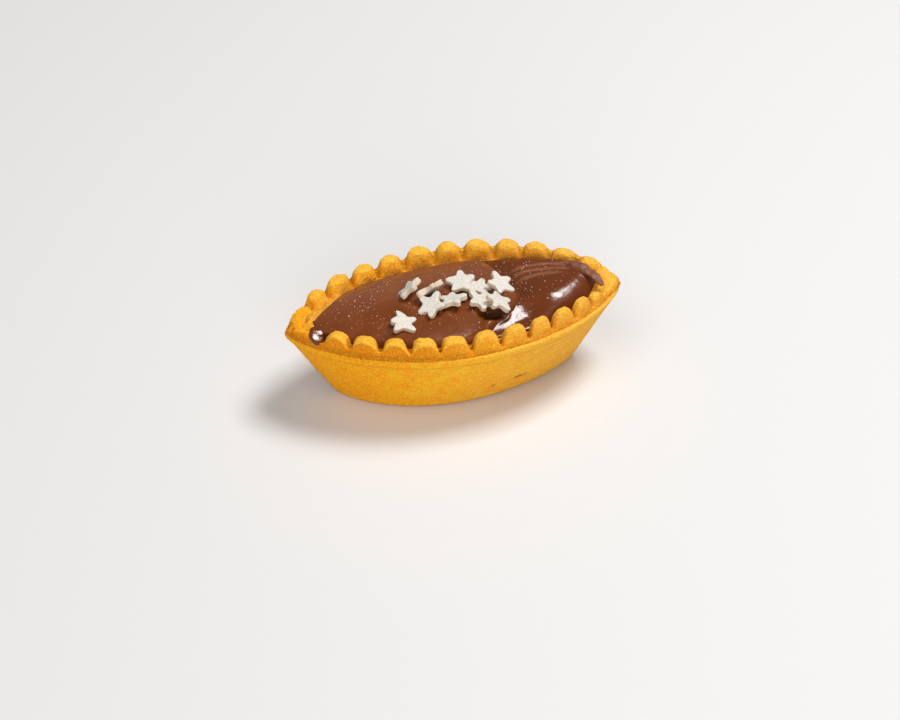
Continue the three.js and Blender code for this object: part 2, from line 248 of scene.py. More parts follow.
def mesh_piece(name, points, faces, material, slot, masks=None):
    """A smooth mesh that rides on the tart. Faces is a list of arrays of corners."""
    mesh = bpy.data.meshes.new(name)
    sizes = np.concatenate([np.full(len(f), f.shape[1]) for f in faces])
    corners = np.concatenate([f.ravel() for f in faces])
    mesh.vertices.add(len(points))
    mesh.vertices.foreach_set("co", (points * MM).ravel())
    mesh.loops.add(len(corners))
    mesh.loops.foreach_set("vertex_index", corners)
    mesh.polygons.add(len(sizes))
    mesh.polygons.foreach_set("loop_start", np.cumsum(sizes) - sizes)
    mesh.polygons.foreach_set("use_smooth", np.ones(len(sizes), dtype=bool))
    for key, values in (masks or {}).items():
        mesh.attributes.new(key, "FLOAT", "POINT").data.foreach_set("value", values)
    mesh.update(calc_edges=True)
    mesh.validate()
    mesh.materials.append(material)
    made = bpy.data.objects.new(name, mesh)
    bpy.context.scene.collection.objects.link(made)
    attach(made, "root")
    return made


def ring_faces(rings, around):
    """Quads between closed rings, each of the same number of points, the first ring lowest."""
    index = np.arange(rings * around).reshape(rings, around)
    low, high = index[:-1], index[1:]
    following = np.roll(index, -1, axis=1)
    quads = np.stack([low, following[:-1], following[1:], high], axis=-1)
    return quads.reshape(-1, 4)


def fan_faces(ring, centre, facing_down):
    """Triangles from a ring's points to the point in its middle."""
    following = np.roll(ring, -1)
    middle = np.full_like(ring, centre)
    corners = [following, ring, middle] if facing_down else [ring, following, middle]
    return np.stack(corners, axis=-1)


def closed_faces(rings, around, start=0):
    """Faces of closed rings, whose two ends are filled to the two points that follow them."""
    index = np.arange(rings * around).reshape(rings, around) + start
    last = start + rings * around
    ends = [fan_faces(index[0], last, True), fan_faces(index[-1], last + 1, False)]
    return [ring_faces(rings, around) + start, *ends]


def grid_normals(grid):
    """Outward unit normals of closed rings of points."""
    along = np.gradient(grid, axis=0)
    around = (np.roll(grid, -1, axis=1) - np.roll(grid, 1, axis=1)) / 2
    normal = np.cross(around, along)
    return normal / np.maximum(np.linalg.norm(normal, axis=-1, keepdims=True), 1e-9)


def colour(red, green, blue):
    """A linear colour from the 0 to 255 of a picture."""
    def linear(c):
        c /= 255
        return c / 12.92 if c <= 0.04045 else ((c + 0.055) / 1.055) ** 2.4
    return (linear(red), linear(green), linear(blue), 1.0)


class Value:
    """A shader socket that Python's operators work on: each one adds its Math node."""

    def __init__(self, shader, socket):
        self.shader = shader
        self.socket = socket

    def math(self, operation, first, second):
        return self.shader.node("ShaderNodeMath", {"operation": operation}, {0: first, 1: second})

    def __add__(self, other):
        return self.math("ADD", self, other)

    def __sub__(self, other):
        return self.math("SUBTRACT", self, other)

    def __rsub__(self, other):
        return self.math("SUBTRACT", other, self)

    def __mul__(self, other):
        return self.math("MULTIPLY", self, other)

    __radd__ = __add__
    __rmul__ = __mul__


class Shader:
    """One material, made of nodes."""

    def __init__(self, name):
        self.material = bpy.data.materials.new(name)
        self.material.use_nodes = True
        self.tree = self.material.node_tree
        self.tree.nodes.clear()
        self.place = self.node("ShaderNodeTexCoord", output="Object")

    def node(self, kind, settings=None, inputs=None, output=0):
        """Adds a node: its settings first, then the values or links of its sockets."""
        made = self.tree.nodes.new(kind)
        for name, value in (settings or {}).items():
            setattr(made, name, value)
        for name, value in (inputs or {}).items():
            if isinstance(value, Value):
                self.tree.links.new(value.socket, made.inputs[name])
            else:
                made.inputs[name].default_value = value
        return Value(self, made.outputs[output]) if made.outputs else None

    def noise(self, size, detail=3, roughness=0.5, stretch=None):
        """Noise with lumps of a size in millimetres, drawn out along the axes by a stretch."""
        place = self.place
        if stretch:
            shrink = tuple(1 / s for s in stretch)
            place = self.node("ShaderNodeVectorMath", {"operation": "MULTIPLY"}, {0: place, 1: shrink})
        inputs = {
            "Vector": place,
            "Scale": 1 / (size * MM),
            "Detail": detail,
            "Roughness": roughness,
        }
        return self.node("ShaderNodeTexNoise", {}, inputs)

    def mask(self, name):
        """One of the values kept on a mesh's points."""
        return self.node("ShaderNodeAttribute", {"attribute_name": name}, output="Fac")

    def axes(self):
        """The three coordinates of a place on the tart, in metres."""
        split = self.node("ShaderNodeSeparateXYZ", {}, {0: self.place})
        return [Value(self, output) for output in split.socket.node.outputs]

    def part(self, value, low, high):
        """0 below low and 1 above high, smooth between."""
        inputs = {"Value": value, "From Min": low, "From Max": high}
        return self.node("ShaderNodeMapRange", {"interpolation_type": "SMOOTHSTEP"}, inputs)

    def mix(self, factor, first, second):
        """The first colour where the factor is 0, and the second where it is 1."""
        return self.node("ShaderNodeMix", {"data_type": "RGBA"}, {0: factor, 6: first, 7: second}, 2)

    def layered(self, tint, layers):
        """A colour under layers of others, each with how strongly it covers those before it."""
        for factor, shade in layers:
            tint = self.mix(factor, tint, shade if isinstance(shade, Value) else colour(*shade))
        return tint

    def bump(self, height, depth):
        """A relief of a depth in millimetres."""
        inputs = {"Strength": 1.0, "Distance": depth * MM, "Height": height}
        return self.node("ShaderNodeBump", {}, inputs)

    def surface(self, **inputs):
        """Ends the material with the shader's own sockets."""
        named = {key.replace("_", " "): value for key, value in inputs.items()}
        made = self.node("ShaderNodeBsdfPrincipled", {}, named)
        self.node("ShaderNodeOutputMaterial", {}, {"Surface": made})
        return self.material


# Masks on the crust's mesh: bead faces, edges with painted highlight, inner faces with painted bounce
# light and a film, and creases with painted shade
RIM_MASKS = ("face", "edge", "inner", "crease")


def pastry():
    """Baked shortcrust: sandy, golden on the left and paler on the right, with painted shade in its
    gaps, painted highlights on its tops and edges and painted bounce light on its inner faces.
    """
    s = Shader("shortcrust")
    face, edge, inner, crease = (s.mask(name) for name in RIM_MASKS)
    across, _, up = s.axes()
    broad = s.noise(4.5, 2)
    patches = s.noise(1.5, 3)
    grain = s.noise(0.45, 3, 0.65)
    fine = s.noise(0.22, 2, 0.7)
    streaks = s.noise(0.45, 2, stretch=(9, 9, 1))
    right = s.part(across, -0.02, 0.036)
    wall = s.part(up, 0.0205, 0.0192)
    tone = s.part(broad * 0.3 + patches * 0.35 + grain * 0.35, 0.38, 0.62)
    left = s.part(across, -0.018, -0.028)
    # Painted bounce light: the inner faces redder and warmer, lighter towards the left
    painted_bounce = s.mix(left, colour(240, 138, 30), colour(240, 166, 60))
    film = s.part(inner + (patches - 0.5) * 0.7, 0.45, 0.95)
    pale = 1 - face * 0.35
    tint = s.layered(s.mix(tone, colour(255, 158, 8), colour(255, 198, 34)), [
        (s.part(across, -0.008, -0.028) * 0.5, (252, 148, 2)),
        # Painted highlight: the tops of the beads lighter, where the light from above falls on them
        (s.part(up, 0.0238, 0.0262) * 0.5, (255, 196, 84)),
        (right * 0.65, (250, 188, 88)),
        (wall * right * s.part(streaks, 0.5, 0.66) * 0.6, (214, 134, 50)),
        (face * 0.85, (224, 126, 8)),
        (face * s.part(up, 0.0238, 0.0224) * 0.75, (190, 98, 2)),
        # Painted highlight along the rim's outer edges, where they catch the light
        (edge * 0.6, (252, 200, 76)),
        # Painted shade in the creases: under the lip, at the foot of the beads and in the gaps between
        # them
        (crease * 0.65, (156, 80, 14)),
        # Painted bounce light on the inner faces
        (s.part(inner, 0, 0.5) * 0.7, painted_bounce),
        (film * (0.7 - left * 0.4), (190, 120, 70)),
        (s.part(grain, 0.5, 0.64) * 0.45, (236, 122, 6)),
        (s.part(grain, 0.5, 0.38) * pale * 0.45, (255, 220, 72)),
        (s.part(fine, 0.53, 0.66) * 0.45, (222, 108, 6)),
        (s.part(fine, 0.47, 0.34) * pale * 0.55, (255, 224, 86)),
        (s.mask("scorch") * 0.8, (120, 62, 18)),
    ])
    height = fine * 0.35 + grain * 0.9 + s.noise(0.9, 2) * 0.7
    return s.surface(
        Base_Color=tint, Roughness=0.85, Specular_IOR_Level=0.06, Normal=s.bump(height, 0.42)
    )


def cream_material():
    """Chocolate hazelnut cream: glossy and dull where it is torn, with a painted sheen towards the
    back and on the fold's roll, and painted shade beside the lobe and in the hollow.
    """
    s = Shader("hazelnut_cream")
    dry = s.mask("dry")
    _, deep, _ = s.axes()
    clouds = s.noise(6, 3)
    grain = s.noise(0.35, 3, 0.65)
    base = s.mix(s.part(clouds, 0.35, 0.65), colour(110, 52, 14), colour(118, 60, 24))
    tint = s.layered(base, [
        # Painted sheen: paler towards the back, where the back light glances off the cream
        (s.part(deep, -0.004, 0.008) * 0.6, (136, 82, 54)),
        # Painted light: a warm, lighter strip on the roll of the fold, lit from the right
        (s.mask("roll") * 0.5, (160, 88, 44)),
        # Painted shade: darker outside the left lobe, over the right half and the cream's ends
        ((1 - s.mask("lobe")) * 0.85, (98, 44, 10)),
        # Painted sheen along the upper edges of the terraces
        (s.mask("terrace_sheen") * 0.5, (160, 106, 76)),
        (dry * 0.6, (134, 84, 62)),
        # Painted shade, nearly black, in the hollow in front of the stars and in the shaded furrow
        (s.mask("pit_shade") * 0.85, (36, 14, 6)),
        (s.part(grain, 0.6, 0.8) * 0.25, (150, 90, 50)),
    ])
    height = s.noise(1.6, 3) * 0.6 + s.noise(0.6, 2) * 0.4 + (dry + 0.12) * grain
    return s.surface(
        Base_Color=tint,
        Roughness=dry * 0.35 + 0.175,
        Specular_IOR_Level=0.6,
        Normal=s.bump(height, 0.08),
    )


def sugar(name, light, dark):
    """Pressed sugar, with painted shade on its sides."""
    s = Shader(name)
    side = s.mask("side")
    grain = s.noise(0.35, 3, 0.6)
    tint = s.mix(s.part(grain, 0.35, 0.7), light, dark)
    # Painted shade: the sides of the stars tan
    tint = s.mix(side * 0.7, tint, colour(208, 180, 142))
    return s.surface(
        Base_Color=tint, Roughness=0.8, Specular_IOR_Level=0.2, Normal=s.bump(grain, 0.08)
    )


# How the beads' faces lean and stand back, and how the rim drops at the tips
TIP_LEAN = 1.2
FACE_TILT = 0.5
FRONT_RECESS = 0.4
BACK_RECESS = 1.1
LEFT_BULGE = 0.45
LEFT_TIP_DROP = 0.9
RIGHT_TIP_DROP = 0.8
# Heights above the crease between the beads: front left, front right and back
GAP_OUTSIDE = (2.2, 1.0)
GAP_MIDDLE = (1.1, 0.6, 2.1)
GAP_INSIDE = (0.4, 0.3, 1.3)
BACK_BAND = (2.0, 3.3)
# Where the crust meets the cream: x, and the distance in from the rim
BACK_TOE = [
    (-35.5, 8.4), (-33.2, 8.6), (-30.2, 8.3), (-28.9, 7.8), (-27.1, 7.0), (-25.8, 6.3),
    (-24.3, 5.5), (-21.4, 5.1), (30, 5.1), (33, 5.4), (35.2, 7.2),
]
FRONT_TOE = [
    (-35.5, 8.4), (-34.5, 7.0), (-33.5, 5.8), (-31, 5.1), (28, 5.1), (32, 5.6), (35.2, 7.2),
]
# Lumps and dips on the rim's land at the tips: place, radius and height
TIP_LUMPS = [
    (-41.3, -2.6, 1.2, 0.9),
    (-41.3, 0.2, 1.0, -1.9),
    (-39.0, 1.5, 1.6, 0.9),
    (-37.2, 1.0, 0.8, -1.0),
    (-35.7, 1.0, 1.4, 1.2),
    (-33.6, 3.3, 0.9, -0.3),
    (-32.2, 5.6, 0.8, -0.4),
    (-30.6, 5.2, 1.4, 0.9),
    (-38.2, -4.4, 1.3, 0.7),
    (-39.5, -3.0, 1.1, 0.6),
    (-34.3, -5.7, 1.5, -1.8),
    (36.2, -4.6, 1.3, 0.8),
    (38.9, -0.6, 2.2, 0.3),
]
# The scorched line low on the front wall, in x and height
SCORCH = [(5.5, 5.6), (7.5, 6.0), (10, 5.7), (12.5, 6.4), (16.5, 7.0)]
WALL_RINGS = 48
BASE_RINGS = (0.3, 0.75, 0.92)
# Rings down the hollow: height, and how much further in than the wall
HOLLOW_RINGS = [(0.8 * CREASE_HEIGHT, 0), (0.5 * CREASE_HEIGHT, 0), (FLOOR + 1, 0.5), (FLOOR, 2.5)]
# The rings that fill the hollow with cream, in the same way
FILL_RINGS = [(FLOOR + CLEARANCE, 2.5), (FLOOR + 1.3, 0.5), (CREASE_HEIGHT * 0.6, 0)]
# Relief of the crust: depth, size and seed of the lumps and of the grain
LUMPS = [(0.13, 3.4, 1), (0.1, 1.5, 2)]
GRAIN = (0.055, 0.6, 3)


# Places round the rim. Side is -1 at the front and 1 at the back, bead is the height of the bead
# there, and place is where a station lies across it, from -1 to 1
Stations = namedtuple("Stations", "u side bead place number")
BEAD_STEPS = 30
TIP_STEP = 0.3
# The dip in the first bead at the back: place, width and depth
LEFT_END_DIP = (0.1, 0.16, 0.35)


def side_stations(side, start, beads, first_number):
    """The stations of one side of the rim, from the left tip to the right one."""
    widths = np.array([width for width, share in beads])
    shares = np.array([share for width, share in beads])
    edges = start + np.concatenate([[0], np.cumsum(widths)])
    spread = crowded(BEAD_STEPS)[:-1]
    arcs = [np.arange(0, start, TIP_STEP)]
    arcs += [(a + b) / 2 + (b - a) / 2 * spread for a, b in zip(edges, edges[1:])]
    arcs.append(np.arange(edges[-1], SIDE_ARC, TIP_STEP))
    arc = np.concatenate(arcs)
    number = np.searchsorted(edges, arc, side="right") - 1
    on_bead = (number >= 0) & (number < len(beads))
    number = np.clip(number, 0, len(beads) - 1)
    middle = (edges[number] + edges[number + 1]) / 2
    place = (arc - middle) / (widths[number] / 2 - NOTCH / 2)
    share = np.where(on_bead, shares[number], 0)
    if side > 0:
        middle, width, depth = LEFT_END_DIP
        dip = 1 - depth * np.exp(-(((place - middle) / width) ** 2))
        share = np.where(number == 0, share * dip, share)
    bead = share * BEAD_HEIGHT
    return Stations(u_at_arc(arc), np.full(len(arc), side), bead, place, number + first_number)


def rim_stations():
    """The stations all round: along the front to the right tip, and back along the back."""
    front = side_stations(-1, FRONT_START, FRONT_BEADS, 0)
    back = side_stations(1, BACK_START, BACK_BEADS, len(FRONT_BEADS))
    right_tip = Stations(1.0, 1, 0.0, 2.0, len(FRONT_BEADS))
    back = [np.append(values[1:], last)[::-1] for values, last in zip(back, right_tip)]
    return Stations(*(np.concatenate(pair) for pair in zip(front, back)))


def shelf_at(stations):
    """Width of the shelf outside the beads."""
    right = smoothstep(stations.u, -0.3, 0.6)
    front = SHELF_FRONT_LEFT + (SHELF_FRONT_RIGHT - SHELF_FRONT_LEFT) * right
    towards_back = smoothstep(np.abs(stations.u), 0.9, 1)
    front = front + (SHELF_BACK - front) * towards_back
    return np.where(stations.side < 0, front, SHELF_BACK)


def block(stations, power, root, flare):
    """Shape across each bead, from 0 between the beads to 1 on their crowns."""
    place = np.clip(np.abs(stations.place), 0, 1)
    return evened((1 - place**power) ** root * (stations.bead > 0), flare)


def toe_distance(x, side):
    """How far in from the rim the crust meets the cream."""
    front = np.interp(x, *np.array(FRONT_TOE).T)
    back = np.interp(x, *np.array(BACK_TOE).T)
    return np.where(side < 0, front, back)


def rim_rows(stations):
    """Distance in from the rim's outline, height and masks of each ring over the rim."""
    # Each bead is a little longer, more askew and further back than the next
    random = np.random.default_rng(SEED)
    beads = len(FRONT_BEADS) + len(BACK_BEADS)
    longer = random.uniform(-0.25, 0.25, beads)[stations.number]
    skew = random.uniform(-0.09, 0.09, beads)[stations.number]
    back_off = random.uniform(-0.12, 0.12, beads)[stations.number]
    front = stations.side < 0
    right_front = smoothstep(stations.u, -0.35, 0.25) * front
    tip = smoothstep(np.abs(stations.u), 0.9, 0.97)
    top = CREASE_HEIGHT + BAND_HEIGHT
    top = top - LEFT_TIP_DROP * smoothstep(-stations.u, 0.82, 0.97)
    top = top - RIGHT_TIP_DROP * smoothstep(stations.u, 0.9, 0.98)
    peak = stations.bead * (1 + skew * stations.place)
    arch, flat = block(stations, 1.9, 1.0, 4), block(stations, 3.2, 0.45, 1)
    end = block(stations, 2.4, 0.7, 3)
    blunt = block(stations, 3, 0.5, 2)
    outside = arch + (blunt - arch) * right_front
    # At the left end the outer face leans in
    lean = TIP_LEAN * smoothstep(-stations.u, 0.8, 0.95) * np.where(front, 1, 0.4)
    shelf = np.maximum(shelf_at(stations) + back_off * outside * front, 0.05)
    length = np.minimum(BEAD_FACE_LEAN + BEAD_LENGTH + longer, INNER_EDGE - INNER_SLOPE - shelf)
    x, _ = outline_point(inside(RIM, INNER_EDGE), stations.u, stations.side)
    # The toe depends on x, and x on the toe
    toe = INNER_EDGE
    for _ in range(12):
        toe = (toe + toe_distance(x, stations.side)) / 2
        x, _ = outline_point(inside(RIM, toe), stations.u, stations.side)
    further = np.maximum(toe - INNER_EDGE, 0)
    toe_height = CREASE_HEIGHT + 0.9 + 1.5 * smoothstep(further, 0, 2.5)

    def level(front_left, front_right, back):
        """Height of the gaps between the beads above the crease, which ends at the tips."""
        height = np.where(front, front_left + (front_right - front_left) * right_front, back)
        return CREASE_HEIGHT + height + (top - CREASE_HEIGHT - height) * tip

    def raised(gap, shape, share):
        return gap + (top + share * peak - gap) * shape

    low, high = BACK_BAND
    back_band = low + (high - low) * smoothstep(stations.u, -0.6, 0.1)
    round_end = (1 - block(stations, 2, 0.5, 2)) * (stations.bead > 0)
    recess = round_end * np.where(front, FRONT_RECESS, BACK_RECESS)
    recess = recess - LEFT_BULGE * flat * smoothstep(-stations.u, 0.5, 0.75) * ~front
    tilt = FACE_TILT * right_front
    gap_outside = level(*GAP_OUTSIDE, back_band)
    gap_middle = level(*GAP_MIDDLE)
    gap_inside = level(*GAP_INSIDE)
    foot = np.minimum(top - 0.5, gap_outside - 0.3)
    foot_inside = np.maximum(gap_inside + 0.15, toe_height)
    # The gaps between the beads, which the crease mask darkens as painted shade
    notch = 0.95 * (1 - flat) * (1 - tip)
    faced = 1 - 0.65 * right_front
    within = np.where(front, 0.4, 1)
    shelf_height = CREASE_HEIGHT + SHELF_RISE
    # Distance in, height, rings up to the next row, then the masks
    knots = [
        (0, CREASE_HEIGHT, 4, (0, 0.6 * right_front, 0, 0.2)),
        (shelf * 0.5, shelf_height + 0.55 * right_front, 3, (0, 0.6 * right_front, 0, 0)),
        (shelf * 0.95, shelf_height - 0.2 * right_front, 7, (0.5 * faced, 0, 0, 1)),
        (shelf + 0.2 + lean * 0.3, foot, 5, (faced, 0, 0, 0)),
        (
            shelf + 0.32 + lean * 0.6 + recess * 0.5 + tilt * 0.4,
            raised(gap_outside, outside, 0.5),
            5, (faced, 0, 0, 0),
        ),
        (
            shelf + 0.42 + lean * 0.9 + recess + tilt,
            raised(gap_outside, outside, 0.86),
            3, (faced, 0, 0, 0),
        ),
        (
            shelf + 0.52 + lean * 0.95 + recess + tilt,
            raised(gap_outside, outside, 0.95),
            3, (0.2, faced, 0, 0),
        ),
        (
            shelf + 0.8 + lean + recess + tilt,
            raised(gap_outside, outside + (flat - outside) * 0.35, 1.0),
            4, (0, 0.8 * faced, 0, notch * 0.5),
        ),
        (
            shelf + 1.3 + lean + recess * 0.8 + tilt,
            raised((gap_outside + gap_middle) / 2, flat, 1.01),
            7, (0, 0, 0, notch),
        ),
        (shelf + length * 0.6, raised(gap_middle, flat, 0.99), 6, (0, 0, 0, notch)),
        (
            shelf + length * np.where(front, 0.88, 0.84),
            raised(gap_inside, np.where(front, flat, end), np.where(front, 0.97, 0.88)),
            5, (0, 0, 0.15 * within, notch),
        ),
        (
            shelf + length * np.where(front, 1, 0.97),
            gap_inside + (top + 0.6 * peak - gap_inside) * 0.8 * np.where(front, end, arch),
            5, (0, 0, 0.5 * within, 0),
        ),
        (shelf + length + 0.12 + further * 0.3, foot_inside, 4, (0, 0, 0.9 * within, 0)),
        (toe - 0.12, toe_height, 4, (0, 0, within, 0)),
        (toe, CREASE_HEIGHT - 1.0, 0, (0, 0, within, 0)),
    ]
    table = np.array([
        [np.broadcast_to(value, stations.u.shape) for value in (distance, height, *masks)]
        for distance, height, steps, masks in knots
    ])
    rows = []
    for (_, _, steps, _), row, following in zip(knots, table, table[1:]):
        rows += [row + (following - row) * k / steps for k in range(steps)]
    rows.append(table[-1])
    return softened(np.array(rows), 3)


def wall_out(height, u, side):
    """How far the wall stands out from its plain outline: rounded foot, soft belly, lip."""
    foot = np.clip((BASE_ROUNDING - height) / BASE_ROUNDING, 0, 1)
    rounding = BASE_ROUNDING * (1 - np.sqrt(1 - foot * foot))
    belly = 0.15 * np.sin(np.pi * np.clip(height / (CREASE_HEIGHT - LIP_HEIGHT), 0, 1))
    lip = smoothstep(height, CREASE_HEIGHT - LIP_HEIGHT - 0.1, CREASE_HEIGHT - LIP_HEIGHT + 0.6)
    lip = lip * (1 - smoothstep(height, CREASE_HEIGHT - 0.7, CREASE_HEIGHT))
    bulge = LIP_BULGE * np.where(side < 0, 1 - 0.7 * smoothstep(u, -0.2, 0.4), 1)
    return belly + bulge * lip - rounding


def scorch(points):
    """How scorched the wall is at each point."""
    x, y, z = points.T
    line = np.interp(x, *np.array(SCORCH).T) + 0.3 * noise(points, 1.1, 13)
    first, last = SCORCH[0][0], SCORCH[-1][0]
    along = smoothstep(x, first, first + 1) * (1 - smoothstep(x, last - 2, last))
    broken = smoothstep(noise(points, 1.8, 14), -0.35, 0.15)
    return np.exp(-(((z - line) / 0.4) ** 2)) * along * broken * (y < 0)


def crust():
    """The shell, as rings from its base, up the wall, over the rim and into the hollow."""
    stations = rim_stations()
    around = len(stations.u)
    zeros = np.zeros(around)
    rings, masks = [], []

    def add(outline, height, mask_rows=(0, 0, 0, 0)):
        x, y = outline_point(outline, stations.u, stations.side)
        rings.append(np.stack([x, y, height + zeros], axis=-1))
        masks.append(np.stack([value + zeros for value in mask_rows]))

    for share in BASE_RINGS:
        add(inside(BASE, BASE_ROUNDING + (1 - share) * 9), 0)
    for height in np.linspace(0, 1, WALL_RINGS)[:-1] ** 1.05 * CREASE_HEIGHT:
        # The crease under the lip, darkened as painted shade
        under_lip = np.exp(-(((height - (CREASE_HEIGHT - LIP_HEIGHT)) / 0.35) ** 2))
        out = wall_out(height, stations.u, stations.side)
        add(wall_outline(height, out), height, (0, 0, 0, 0.45 * under_lip))
    wall_count = len(rings)
    for distance, height, *row_masks in rim_rows(stations):
        add(inside(RIM, distance), height, row_masks)
    rim_count = len(rings)
    for height, extra in HOLLOW_RINGS:
        add(inside(wall_outline(height), WALL + extra), height)

    grid = np.array(rings)
    masks = np.array(masks)
    number = np.arange(len(grid))[:, None]
    on_rim = smoothstep(number, wall_count + 8, wall_count + 14) * (number < rim_count)
    for x, y, radius, height in TIP_LUMPS:
        near = np.exp(-(((grid[..., 0] - x) ** 2 + (grid[..., 1] - y) ** 2) / radius**2))
        grid[..., 2] += height * near * on_rim
    normal = grid_normals(grid)
    crown = on_rim * (1 - masks[:, 0])
    lumps = sum(depth * noise(grid, size, seed) for depth, size, seed in LUMPS)
    grain_depth, size, seed = GRAIN
    grain = grain_depth * noise(grid, size, seed)
    rough_lip = masks[:, 1] * (number < wall_count + 6) * noise(grid, 0.7, 4) * 0.4
    depth = lumps * (0.55 + 0.75 * crown) + grain * (0.6 + 1.1 * crown) + rough_lip
    depth *= smoothstep(grid[..., 2], 0.1, 1.6) * (number < rim_count)
    grid += normal * depth[..., None]

    points = np.concatenate([grid.reshape(-1, 3), [[0, 0, 0], [0, 0, FLOOR]]])
    faces = closed_faces(len(grid), around)
    attributes = {name: np.append(masks[:, k], [0, 0]) for k, name in enumerate(RIM_MASKS)}
    attributes["scorch"] = scorch(points)
    made = mesh_piece("crust_shell", points, faces, pastry(), "shortcrust", attributes)
    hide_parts("crust")


def distance_in(outline, x, y):
    """Distance to the front edge and to the back edge of an outline, near enough."""
    reach = half_width_at(outline, x)
    slope = half_width_at(outline, x + 0.5) - half_width_at(outline, x - 0.5)
    return (y + reach) / np.hypot(1, slope), (reach - y) / np.hypot(1, slope)


def lobe(shape, x, y):
    """Height of a long mound."""
    r = np.hypot((x - shape.x) / shape.half_length, (y - shape.y) / shape.half_width)
    return shape.height * np.maximum(0, 1 - r * r) ** shape.edge


# Marks of the spatula: places along each one, its height, its width and its side, which is 1
# where the front lies lower, -1 where the back does and 0 for a line that stands up or cuts in
Mark = namedtuple("Mark", "places height width side")
MARKS = [
    Mark([(-22.3, -1.2), (-20.4, 1.1), (-16.9, 2.3), (-13.2, 2.2)], 0.14, 0.8, 1),
    Mark([(-24, 2), (-20.9, 6.0), (-15.8, 7.7), (-9.3, 8.6), (-4, 9.7)], 0.15, 0.9, -1),
    Mark([(-26.5, -3.5), (-23.2, -0.4), (-19.8, 0.6), (-16.5, 0.4)], 0.1, 0.6, 1),
    Mark([(-20.2, -11.6), (-18.5, -9.6), (-17.1, -7.2)], -0.12, 1.6, 0),
    Mark([(15.5, 2.4), (17.5, 2.9), (22.9, 2.9), (26.5, 2.2), (29.5, 1.2)], 0.27, 0.75, 1),
    Mark([(15.2, 4.9), (20, 5.3), (26, 4.4), (31.5, 1.9)], 0.22, 0.65, 1),
    Mark([(14.5, 6.8), (20, 7.3), (26, 6.4), (31, 4)], 0.18, 0.55, 1),
    Mark([(28.2, 3.2), (29.8, 2.4), (32.4, 0.6)], -0.35, 0.28, 0),
    Mark([(27.4, 4.4), (29.6, 3.9), (32.0, 2.6)], -0.28, 0.22, 0),
]
TERRACES = slice(4, 7)
STREAK_DEPTH = 0.2
FINE_STREAK_DEPTH = 0.07
# The hollow in front of the stars
Hollow = namedtuple("Hollow", "x y half_length half_width depth")
HOLLOW = Hollow(8.3, -8.0, 2.9, 2.2, 2.4)
# Broken cream under the stars: place and radius
ROUGH_SPOTS = [
    (-2.0, 4.6, 1.7), (2.9, -0.7, 1.6), (10.9, 0.2, 1.6), (6.4, 1.3, 1.2), (0.6, 0.4, 1.2),
]
CREAM_OUTLINE = inside(RIM, INNER_EDGE + CLEARANCE)


def beside_mark(mark, x, y, fade):
    """How far behind a mark of the spatula a place lies, and how strong the mark is there."""
    places = np.array(mark.places)
    first, last = places[0, 0], places[-1, 0]
    within = smoothstep(x, first, first + fade) * (1 - smoothstep(x, last - fade, last))
    return y - np.interp(x, *places.T), within


def mark_height(mark, x, y):
    """How much one mark of the spatula adds to the cream's height."""
    fade = min(3.0, (mark.places[-1][0] - mark.places[0][0]) / 3)
    behind, within = beside_mark(mark, x, y, fade)
    across = behind / mark.width
    hump = np.exp(-across * across)
    step = mark.side * across * hump * 1.6 if mark.side else hump
    return mark.height * within * step


def lobe_inside(x, y):
    """How far a place lies inside the right-hand end of the left lobe."""
    fold_x = FOLD_X - FOLD_CURVE * (y - FOLD_Y) ** 2
    front_y = np.interp(x, *np.array(LOBE_FRONT).T)
    from_fold, from_front = fold_x - x, (y - front_y) * 0.9
    # The nearer of the two, rounded at the corner
    apart = np.abs(from_fold - from_front)
    corner = np.clip(1 - apart / CORNER_WIDTH, 0, 1)
    return np.minimum(from_fold, from_front) - CORNER_WIDTH / 4 * corner * corner


def near_spot(spot, x, y):
    """1 in the middle of a spot, and falling away at its radius."""
    spot_x, spot_y, radius = spot
    return np.exp(-((((x - spot_x) ** 2 + (y - spot_y) ** 2) / radius**2) ** 2))


